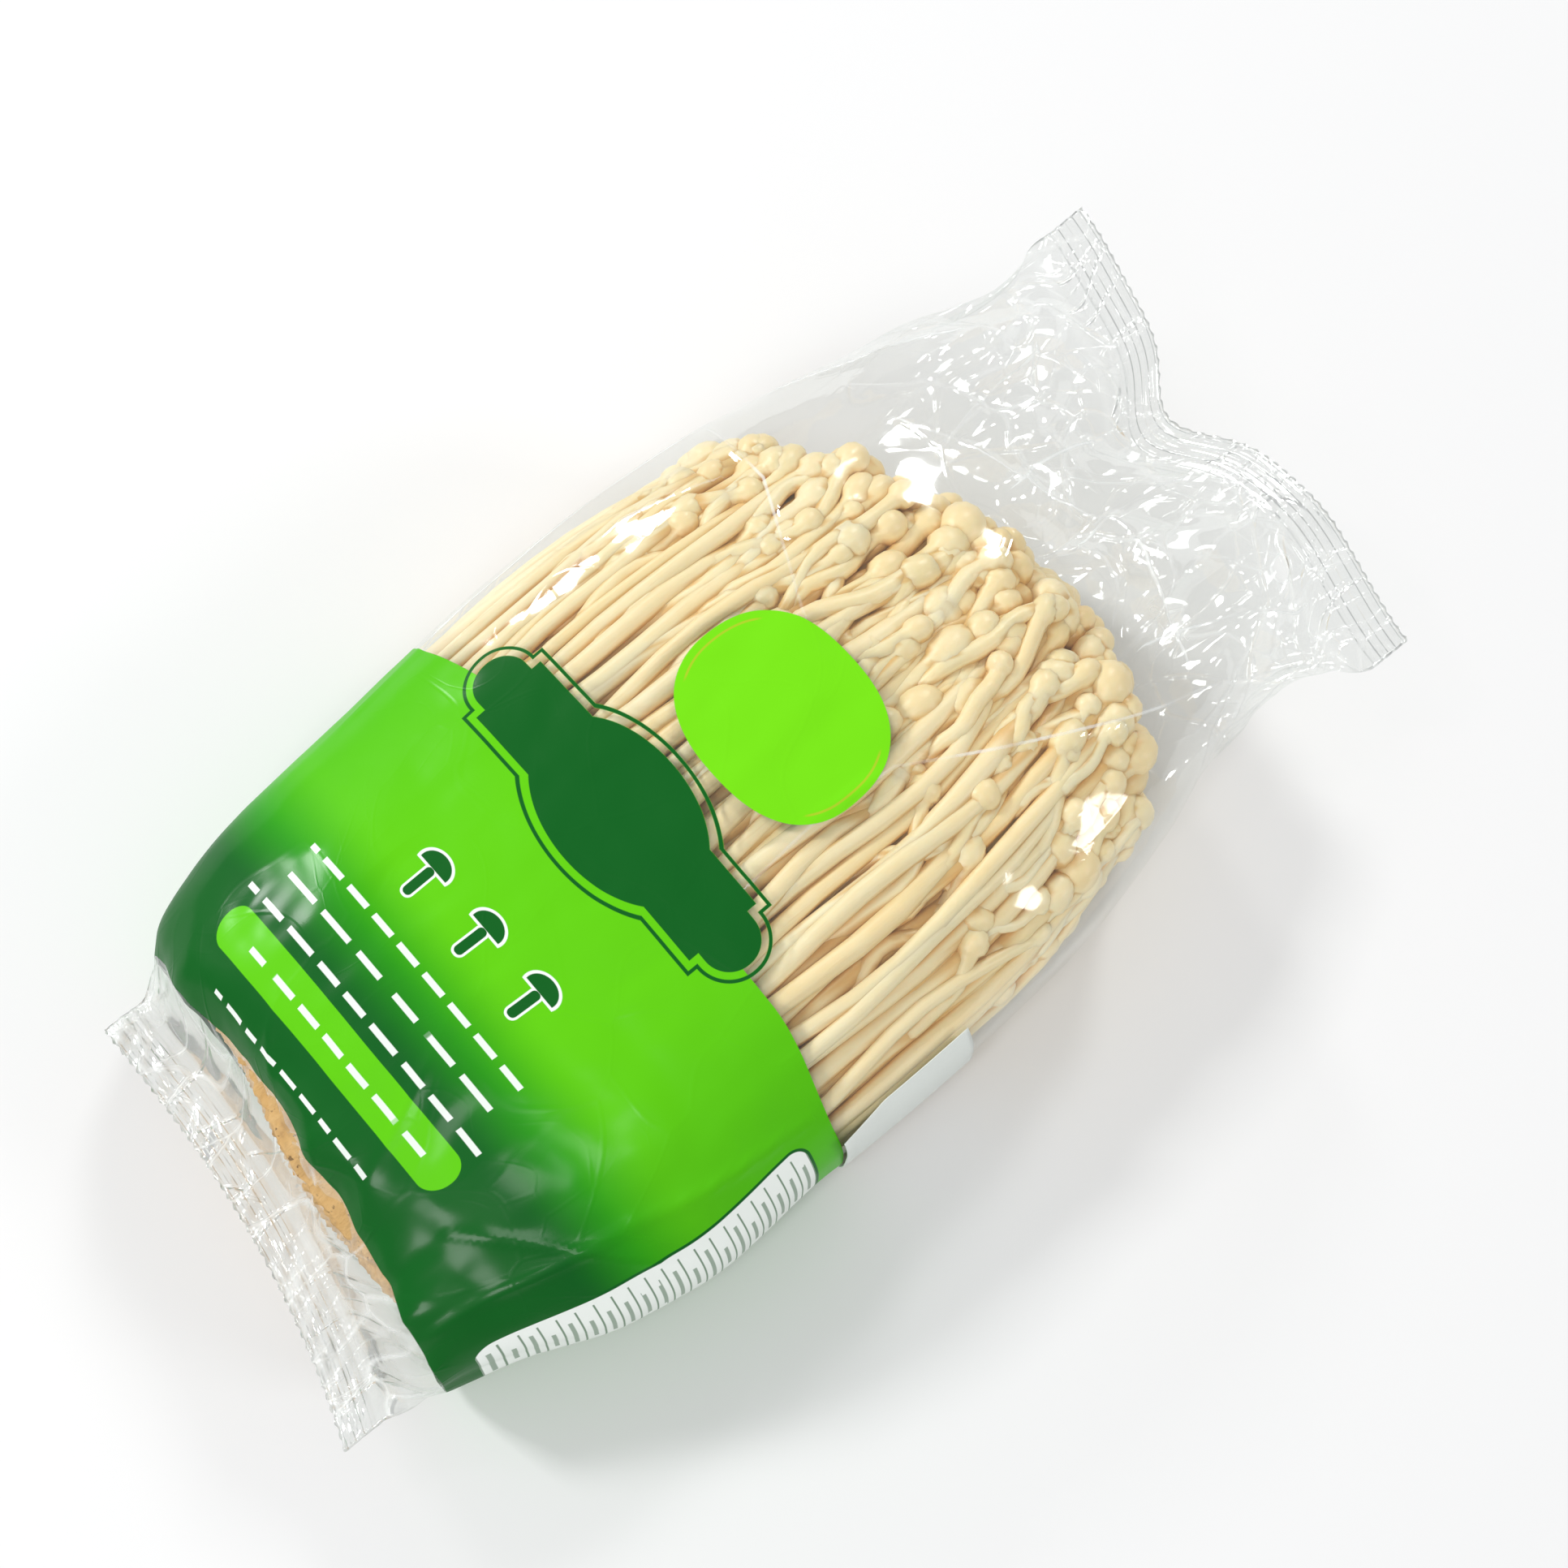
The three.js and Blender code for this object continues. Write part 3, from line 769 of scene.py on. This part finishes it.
def filmPoints(u, v):
    look = filmLook
    points, welded, share, across = filmSurface(u, v)
    normals = unit(np.cross(np.gradient(points, axis=1), np.gradient(points, axis=0)))
    normals *= np.sign(np.sum(normals[len(u) // 2, u.shape[1] // 2] * np.array([0, 0, 1])))
    roomy = smooth(0.5, 16, outline("top", u) - outline("under", u)) * (1 - welded)
    capSpace = smooth(60, 84, u)
    rootSpace = 1 - smooth(-103, -93, u)
    slack = crumple(u, v, *look["slackFolds"], look["seed"])
    broad = crumple(u, v, *look["broadFolds"], look["seed"] + 5)
    middling = 1 - 0.75 * smooth(0.6, 1, np.abs(across))
    height = slack * (0.32 * capSpace + 0.3 * rootSpace + 0.03) * middling
    height += broad * (0.08 + 0.45 * capSpace) * middling
    for crease in look["creases"]:
        height += creaseHeight(u, v, crease)
    ventU, ventV, ventRadius = look["ventHole"]
    rimHeight, rimWidth = look["ventRim"]
    height += rimHeight * np.exp(-(((np.hypot(u - ventU, v - ventV) - ventRadius) / rimWidth) ** 2))
    overBunch = (1 - smooth(62, 74, u)) * smooth(-104, -98, u)
    height = np.maximum(height, -0.5 * overBunch - 6 * (1 - overBunch))
    aboveFloor = smooth(0.4, 3, points[..., 2])
    points += normals * (height * roomy * aboveFloor)[..., None]
    beyond = np.maximum(0, np.maximum(u - bagForm["capSeal"], bagForm["rootSeal"] - u))
    outermost = smooth(bagForm["sealDepth"] - 0.9, bagForm["sealDepth"], beyond)
    layer = np.where(share < 0.5, 1.0, -1.0) * (1 - np.abs(across) ** 8) * (1 - outermost)
    points[..., 2] += look["ribHeight"] * np.sin(beyond * 2 * math.pi / look["ribPitch"]) * welded
    points[..., 2] += 0.5 * look["tabWall"] * layer * welded
    points[..., 2] += 0.7 * np.sin(points[..., 1] / 6.5 + 1) * smooth(0, 9, beyond)
    pleats = np.sin(points[..., 1] / 1.9 + 2 * np.sin(points[..., 1] / 7))
    pleats += 0.5 * np.sin(points[..., 1] / 0.9 + beyond)
    points[..., 2] += 0.5 * pleats * smooth(0.5, 5, beyond) * (u < 0)
    depth, pitch = look["cutTeeth"]
    points[..., 0] -= np.sign(u) * depth * foldWave(points[..., 1] / pitch) * outermost
    points[..., 2] = np.maximum(points[..., 2], 0.02)
    return points


# Draws a square of cells onto the vent hole's circle
def roundVent(u, v):
    ventU, ventV, radius = filmLook["ventHole"]
    row = np.argmin(np.abs(u[:, 0] - ventU))
    column = np.argmin(np.abs(v[0] - ventV))
    offU, offV = u - u[row, column], v - v[row, column]
    reachU = filmLook["ventCells"] * (u[1, 0] - u[0, 0])
    reachV = filmLook["ventCells"] * (v[0, 1] - v[0, 0])
    square = np.maximum(np.abs(offU) / reachU, np.abs(offV) / reachV)
    away = np.maximum(1e-9, np.hypot(offU, offV))
    drawn = (1 - smooth(1, 2.4, square)) * (square > 0.99)
    wanted = away * (1 - drawn) + radius * square * drawn
    moved = drawn > 0
    return np.where(moved, ventU + offU * wanted / away, u), np.where(moved, ventV + offV * wanted / away, v)


def openVent(mesh):
    ventU, ventV, radius = filmLook["ventHole"]
    made = bmesh.new()
    made.from_mesh(mesh)
    layer = made.loops.layers.uv.active
    centre = Vector((ventU, ventV))
    edge = radius + 0.01
    within = [face for face in made.faces if all((loop[layer].uv - centre).length < edge for loop in face.loops)]
    bmesh.ops.delete(made, geom=within, context="FACES")
    made.to_mesh(mesh)
    made.free()


def buildFilm(material):
    look = filmLook
    mesh, places = gridMesh("film", look["rows"], look["columns"])
    row = np.rint(places[:, 0] * look["rows"]).astype(int)
    column = np.rint(places[:, 1] * look["columns"]).astype(int)
    start = bagForm["rootSeal"] - bagForm["sealDepth"]
    length = bagForm["capSeal"] + bagForm["sealDepth"] - start
    u, v = np.meshgrid(
        start + length * np.linspace(0, 1, look["rows"] + 1),
        girth * (np.linspace(0, 1, look["columns"] + 1) - 0.5),
        indexing="ij",
    )
    u, v = roundVent(u, v)
    points = filmPoints(u, v)
    points[:, -1] = points[:, 0]
    placeVertices(mesh, points[row, column])
    lengths = mesh.uv_layers.new(name="printMap")
    corner = np.empty(len(mesh.loops), int)
    mesh.loops.foreach_get("vertex_index", corner)
    lengths.data.foreach_set("uv", np.stack([u[row, column], v[row, column]], -1)[corner].ravel())
    nearCreases = mesh.attributes.new("creaseNearness", "FLOAT_VECTOR", "POINT")
    nearCreases.data.foreach_set("vector", creaseNearness(u, v)[row, column].ravel())
    openVent(mesh)
    closeMesh(mesh)
    return addPiece("film", mesh, material, "film", "film_bag")


# Film and print

printLook = {
    "bright": srgb(0.36, 0.77, 0.0),
    "middle": srgb(0.15, 0.59, 0.02),
    "dark": srgb(0.0, 0.355, 0.09),
    "fresh": srgb(0.44, 0.84, 0.03),
    "white": srgb(0.93, 0.95, 0.93),
    "gold": srgb(0.70, 0.72, 0.16),
    "panel": (-99.6, -23),
    "panelDrawnBack": 4,  # of its upper edge, at the sides of the bag
    "cartouche": (-21.6, 7.7),
    "cartoucheBulge": (-1.2, 12.2, 19.6),
    "cartoucheBox": (7.4, 28.9),
    "cartoucheLobes": (5.4, 36, 5.3),
    "cartoucheLine": (1.25, 1.9),  # its distances outside the cartouche
    "oval": (10.4, 0.6, 15.8, 19.8, 2.4),
    "arcs": (1.3, 0.16, 15.5, 16.5),  # inside the oval's edge, half width, where they fade in
    "bar": (-82.7, 7.6, 4, 36, 3.9),
    "motifs": (-53, 5.7, 15, 4.2),  # u, v, pitch and size
    "motifLine": 0.45,
    "sidePanel": (-64, -69, 31, 10.5, 3),
    "sideEdge": 0.6,
    "rules": (3.1, 0.16, 9.3),  # pitch, half width, half length
    "entries": (0.36, 6, 1.5),  # half width, half length and how much that varies
    # u, v from and to, and the length of a dash with its gap
    "dashes": (
        (-64, -23, 40, 7.5),
        (-70, -23, 40, 10.5),
        (-76, -27, 44, 8.6),
        (-93, -17, 35, 6.4),
        (-83, -22, 34, 8.2),
    ),
}


# Distance outside a box with round corners
def roundBox(u, v, centreU, centreV, halfU, halfV, corner):
    du = ((u - centreU).size() - (halfU - corner)).most(0.0)
    dv = ((v - centreV).size() - (halfV - corner)).most(0.0)
    return (du * du + dv * dv).compute("POWER", 0.5) - corner


def ellipse(u, v, centreU, centreV, halfU, halfV, squareness=2.0):
    du = ((u - centreU) / halfU).size().compute("POWER", squareness)
    dv = ((v - centreV) / halfV).size().compute("POWER", squareness)
    return ((du + dv).compute("POWER", 1 / squareness) - 1.0) * min(halfU, halfV)


def inside(distance, edge=0.0):
    return distance.ramp(edge + 0.09, edge - 0.09)


# A row of three small mushrooms, cap up the bag
def mushroomMotif(u, v, centreU, centreV, pitch, size):
    local = (v - centreV).repeated(pitch)
    count = inside((v - centreV).size() - 1.5 * pitch)
    cap = ellipse(u, local, centreU + 0.45 * size, 0.0, 0.62 * size, 0.85 * size)
    cap = cap.most((u - (centreU + 0.35 * size)) * -1.0)
    stalk = roundBox(u, local, centreU - 0.4 * size, 0.0, 0.75 * size, 0.24 * size, 0.2 * size)
    return cap.least(stalk), count


def paintPrint(tree, u, v):
    look = printLook
    low, high = look["panel"]
    drawnBack = v.size().ramp(36, 62) * look["panelDrawnBack"]
    panel = inside((u - high + drawnBack).most((u - low) * -1.0))
    centreU, centreV = look["cartouche"]
    shift, halfU, halfV = look["cartoucheBulge"]
    boxU, boxV = look["cartoucheBox"]
    form = ellipse(u, v, centreU, centreV + shift, halfU, halfV)
    form = form.least(((u - centreU).size() - boxU).most((v - centreV).size() - boxV))
    form = form.least(roundBox(u, v, centreU, centreV, *look["cartoucheLobes"]))
    cartouche = inside(form)
    gap, ring = (inside(form, edge) for edge in look["cartoucheLine"])
    ovalForm = ellipse(u, v, *look["oval"])
    oval = inside(ovalForm)
    depth, halfWidth, fadeFrom, fadeTo = look["arcs"]
    fromMiddle = (v - look["oval"][1]).size()
    arcs = inside((ovalForm + depth).size() - halfWidth) * fromMiddle.ramp(fadeFrom, fadeTo)
    bar = inside(roundBox(u, v, *look["bar"]))
    motif, motifRow = mushroomMotif(u, v, *look["motifs"])

    across = v + u.ramp(-60, -96) * 2
    sideForm = roundBox(u, across, *look["sidePanel"])
    sidePanel, sideEdge = inside(sideForm), inside(sideForm, look["sideEdge"])
    middleU, middleV = look["sidePanel"][:2]
    fromMiddle = (across - middleV).size()
    pitch, halfWidth, halfLength = look["rules"]
    rules = inside((u - middleU).repeated(pitch).size() - halfWidth) * inside(fromMiddle - halfLength)
    halfWidth, halfLength, change = look["entries"]
    ending = ((u * 0.9).compute("SNAP", pitch) * 7).compute("SINE") * change + halfLength
    entries = inside((u - middleU + pitch / 2).repeated(pitch).size() - halfWidth)
    entries = entries * inside(fromMiddle - ending)

    green = blendColor(tree, v.size().ramp(18, 75) * 0.45, look["bright"], look["middle"])
    green = blendColor(tree, u.ramp(-54, -68), green, look["middle"])
    green = blendColor(tree, u.ramp(-63, -77), green, look["dark"])
    green = blendColor(tree, bar, green, look["bright"])
    for atU, fromV, toV, spacing in look["dashes"]:
        width = (v * 1.7 + atU).compute("SINE") * 0.6 + spacing * 0.36
        dash = inside(((v - atU).repeated(spacing).size() - width).most((u - atU).size() - 0.55))
        dash = dash * inside((v - (fromV + toV) / 2).size() - (toV - fromV) / 2)
        green = blendColor(tree, dash * 0.9, green, look["white"])
    green = blendColor(tree, inside(motif, look["motifLine"]) * motifRow, green, look["white"])
    green = blendColor(tree, inside(motif) * motifRow, green, look["dark"])
    green = blendColor(tree, ring, green, look["dark"])
    green = blendColor(tree, gap, green, look["bright"])
    green = blendColor(tree, cartouche, green, look["dark"])
    green = blendColor(tree, oval, green, look["fresh"])
    green = blendColor(tree, arcs * 0.7, green, look["gold"])
    green = blendColor(tree, sideEdge, green, look["dark"])
    green = blendColor(tree, sidePanel, green, look["white"])
    green = blendColor(tree, sidePanel * rules.most(entries * 0.8) * 0.8, green, look["dark"])
    covered = panel.most(ring - gap).most(cartouche).most(oval).most(sideEdge)
    return green, covered


# Lengths along and round the film, bent a little, for patterns without straight rows
def bentLengths(tree, lengths):
    bend = tree.nodes.new("ShaderNodeTexNoise")
    bend.inputs["Scale"].default_value = 0.05
    bend.inputs["Detail"].default_value = 0.0
    tree.links.new(lengths, bend.inputs["Vector"])
    offset = tree.nodes.new("ShaderNodeVectorMath")
    offset.operation = "MULTIPLY_ADD"
    offset.inputs[1].default_value = (22, 22, 0)
    tree.links.new(bend.outputs["Color"], offset.inputs[0])
    tree.links.new(lengths, offset.inputs[2])
    return offset.outputs[0]


# Thin ridges along the borders of irregular cells, as crushed film has
def creaseNet(tree, lengths, cell, width):
    cells = tree.nodes.new("ShaderNodeTexVoronoi")
    cells.feature = "DISTANCE_TO_EDGE"
    cells.voronoi_dimensions = "2D"
    cells.inputs["Scale"].default_value = 1 / cell
    tree.links.new(lengths, cells.inputs["Vector"])
    return Field(tree, cells.outputs["Distance"]).ramp(width, 0.0)


def filmMaterial():
    material, tree, output = newMaterial("printed_film")
    mapNode = tree.nodes.new("ShaderNodeUVMap")
    mapNode.uv_map = "printMap"
    lengths = tree.nodes.new("ShaderNodeSeparateXYZ")
    tree.links.new(mapNode.outputs[0], lengths.inputs[0])
    u, v = Field(tree, lengths.outputs[0]), Field(tree, lengths.outputs[1])
    green, covered = paintPrint(tree, u, v)

    coordinate = tree.nodes.new("ShaderNodeTexCoord").outputs["Object"]
    slackCap, slackRoot = u.ramp(58, 86), u.ramp(-95, -104)
    wavy = noise(tree, coordinate, 60, 1, 0.5)
    patches = wavy.ramp(0.42, 0.6)
    bent = bentLengths(tree, mapNode.outputs[0])
    wide, narrow = (creaseNet(tree, bent, *cells) for cells in filmLook["crushed"])
    net = wide + narrow * patches * 0.45
    nearCreases = tree.nodes.new("ShaderNodeAttribute")
    nearCreases.attribute_name = "creaseNearness"
    nearCreaseParts = tree.nodes.new("ShaderNodeSeparateXYZ")
    tree.links.new(nearCreases.outputs["Vector"], nearCreaseParts.inputs[0])
    foldSide, foldNear = Field(tree, nearCreaseParts.outputs[0]), Field(tree, nearCreaseParts.outputs[1])
    foldHighlight = foldSide.size().ramp(0.42, 0.12) * foldNear * (patches * 0.75 + 0.25)
    ribs = (u + 0.4).repeated(1.8).size().ramp(0.55, 0.25)
    tab = u.size().ramp(109.5, 110.2).most(u.ramp(-108.2, -109))
    relief = wavy * 0.45 + net * (slackCap * 0.4 + slackRoot * 0.4 + 0.03) + ribs * tab * 0.35
    relief = bumpNormal(tree, relief, 0.6, 0.0009)

    ink = tree.nodes.new("ShaderNodeBsdfPrincipled")
    tree.links.new(green, ink.inputs["Base Color"])
    ink.inputs["Roughness"].default_value = 0.5
    ink.inputs["Specular IOR Level"].default_value = 0.1
    ink.inputs["Coat Weight"].default_value = 0.25
    ink.inputs["Coat Roughness"].default_value = 0.18
    tree.links.new(relief, ink.inputs["Normal"])
    tree.links.new(relief, ink.inputs["Coat Normal"])

    clear = tree.nodes.new("ShaderNodeBsdfTransparent")
    clear.inputs[0].default_value = (*filmLook["through"], 1)
    haze = tree.nodes.new("ShaderNodeBsdfDiffuse")
    haze.inputs[0].default_value = (*filmLook["haze"], 1)
    veil = tree.nodes.new("ShaderNodeMixShader")
    # painted highlights: white haze along the crease lines and the crushed net, for the glints of crumpled film
    creaseHighlights = net * (slackRoot * 0.35 + slackCap * 0.2) + foldHighlight * 0.55
    hazy = u.ramp(-104.5, -108) * (wavy.ramp(0.35, 0.65) * 0.22 + 0.14) + slackCap * 0.02 + 0.015
    ventU, ventV, ventRadius = filmLook["ventHole"]
    fromVent = ((u - ventU) * (u - ventU) + (v - ventV) * (v - ventV)).compute("POWER", 0.5)
    rim = inside((fromVent - ventRadius).size() - 0.4)
    tree.links.new((hazy + creaseHighlights + rim * 0.5).share().source, veil.inputs[0])
    tree.links.new(clear.outputs[0], veil.inputs[1])
    tree.links.new(haze.outputs[0], veil.inputs[2])
    gloss = tree.nodes.new("ShaderNodeBsdfPrincipled")
    gloss.inputs["Base Color"].default_value = (*filmLook["gloss"], 1)
    gloss.inputs["Metallic"].default_value = 1.0
    gloss.inputs["Roughness"].default_value = 0.08
    tree.links.new(relief, gloss.inputs["Normal"])
    # the single film reflects no more from behind than from in front, the doubled welds do
    behind = Field(tree, tree.nodes.new("ShaderNodeNewGeometry").outputs["Backfacing"])
    behind = behind * u.ramp(108, 105) * u.ramp(-107, -101)
    fresnel = tree.nodes.new("ShaderNodeFresnel")
    ior = filmLook["ior"]
    tree.links.new((behind * (1 / ior - ior) + ior).source, fresnel.inputs["IOR"])
    tree.links.new(relief, fresnel.inputs["Normal"])
    factor, least, most = filmLook["shine"]
    shine = (Field(tree, fresnel.outputs[0]) * factor + least).least(most)
    window = tree.nodes.new("ShaderNodeMixShader")
    tree.links.new(shine.source, window.inputs[0])
    tree.links.new(veil.outputs[0], window.inputs[1])
    tree.links.new(gloss.outputs[0], window.inputs[2])
    both = tree.nodes.new("ShaderNodeMixShader")
    tree.links.new(covered.source, both.inputs[0])
    tree.links.new(window.outputs[0], both.inputs[1])
    tree.links.new(ink.outputs[0], both.inputs[2])

    # light that only passes or bounces meets a plainer film
    lightPath = tree.nodes.new("ShaderNodeLightPath")
    shadowRay, diffuseRay, glossyRay = (
        Field(tree, lightPath.outputs[f"Is {kind} Ray"]) for kind in ("Shadow", "Diffuse", "Glossy")
    )
    passing = shadowRay.most(diffuseRay).most(glossyRay)
    opaque = tree.nodes.new("ShaderNodeBsdfDiffuse")
    opaque.inputs[0].default_value = (*printLook["middle"], 1)
    shade = tree.nodes.new("ShaderNodeMixShader")
    tree.links.new(covered.source, shade.inputs[0])
    tree.links.new(clear.outputs[0], shade.inputs[1])
    tree.links.new(opaque.outputs[0], shade.inputs[2])
    chosen = tree.nodes.new("ShaderNodeMixShader")
    tree.links.new(passing.source, chosen.inputs[0])
    tree.links.new(both.outputs[0], chosen.inputs[1])
    tree.links.new(shade.outputs[0], chosen.inputs[2])
    tree.links.new(chosen.outputs[0], output.inputs["Surface"])
    return material


buildFilm(filmMaterial())
print("film built")


# Paper label on the side

labelLook = {
    "from": -27,
    "to": 2,
    "angles": (163, 203),
    "gap": 0.6,
    "thickness": 0.2,
    "color": srgb(0.88, 0.90, 0.88),
    "shade": srgb(0.78, 0.80, 0.78),
}


def buildLabel(material):
    mesh, places = gridMesh("label", 30, 24)
    s, t = places[:, 0], places[:, 1]
    u = labelLook["from"] + (labelLook["to"] - labelLook["from"]) * s
    low, high = np.radians(labelLook["angles"])
    y, z = sectionPoint(u, low + (high - low) * t, -labelLook["gap"])
    y = y - 9 * np.maximum(0, 0.35 - s) * np.maximum(0, 0.5 - t)
    placeVertices(mesh, np.stack([u, y, z], -1))
    made = bmesh.new()
    made.from_mesh(mesh)
    bmesh.ops.recalc_face_normals(made, faces=made.faces)
    bmesh.ops.solidify(made, geom=made.faces[:], thickness=labelLook["thickness"] / 1000)
    bmesh.ops.recalc_face_normals(made, faces=made.faces)
    made.to_mesh(mesh)
    made.free()
    return addPiece("label", mesh, material, "paper", "side_label")


def labelMaterial():
    material, tree, output = newMaterial("label_paper")
    coordinate = tree.nodes.new("ShaderNodeTexCoord").outputs["Object"]
    grain = noise(tree, coordinate, 2500, 4, 0.6)
    shader = tree.nodes.new("ShaderNodeBsdfPrincipled")
    paper = blendColor(tree, grain * 0.3, labelLook["color"], labelLook["shade"])
    tree.links.new(paper, shader.inputs["Base Color"])
    shader.inputs["Roughness"].default_value = 0.5
    tree.links.new(bumpNormal(tree, grain, 0.2, 0.0001), shader.inputs["Normal"])
    tree.links.new(shader.outputs[0], output.inputs["Surface"])
    return material


buildLabel(labelMaterial())
print("label built")


# Floor and lights

studio = {
    "floorSize": 8000,
    "floor": (0.79, 0.79, 0.79),
    "world": (0.34, 0.345, 0.35),
    # name, place, size, watts
    "lamps": (
        ("key", (-0.5, 1.15, 1.0), 0.28, 11),
        ("side", (1.2, 0.7, 0.9), 0.25, 7),
        ("front", (0.9, -1.15, 0.75), 0.4, 5),
        ("low", (-1.2, -0.35, 1.0), 0.4, 7),
        ("edge", (0.25, 1.3, 0.6), 0.16, 3),
        ("high", (-0.55, -0.3, 1.5), 0.4, 5),
    ),
}

floorMesh, floorPlaces = gridMesh("floor", 1, 1)
placeVertices(floorMesh, (floorPlaces - np.array([0.5, 0.5, 0])) * studio["floorSize"])
floorPaint, floorTree, floorOutput = newMaterial("floor_paint")
floorShader = floorTree.nodes.new("ShaderNodeBsdfPrincipled")
floorShader.inputs["Base Color"].default_value = (*studio["floor"], 1)
floorShader.inputs["Roughness"].default_value = 0.9
floorTree.links.new(floorShader.outputs[0], floorOutput.inputs["Surface"])
floorMesh.materials.append(floorPaint)
floor = bpy.data.objects.new("floor", floorMesh)
bpy.context.scene.collection.objects.link(floor)

for lampName, place, size, watts in studio["lamps"]:
    lampData = bpy.data.lights.new(lampName, "AREA")
    lampData.size = size
    lampData.energy = watts
    lamp = bpy.data.objects.new(lampName, lampData)
    lamp.location = place
    lamp.rotation_euler = Vector(place).to_track_quat("Z", "Y").to_euler()
    bpy.context.scene.collection.objects.link(lamp)

world = bpy.data.worlds.new("studio")
world.use_nodes = True
world.node_tree.nodes["Background"].inputs[0].default_value = (*studio["world"], 1)
bpy.context.scene.world = world
bpy.context.scene.view_settings.view_transform = "Standard"
print("studio lit")
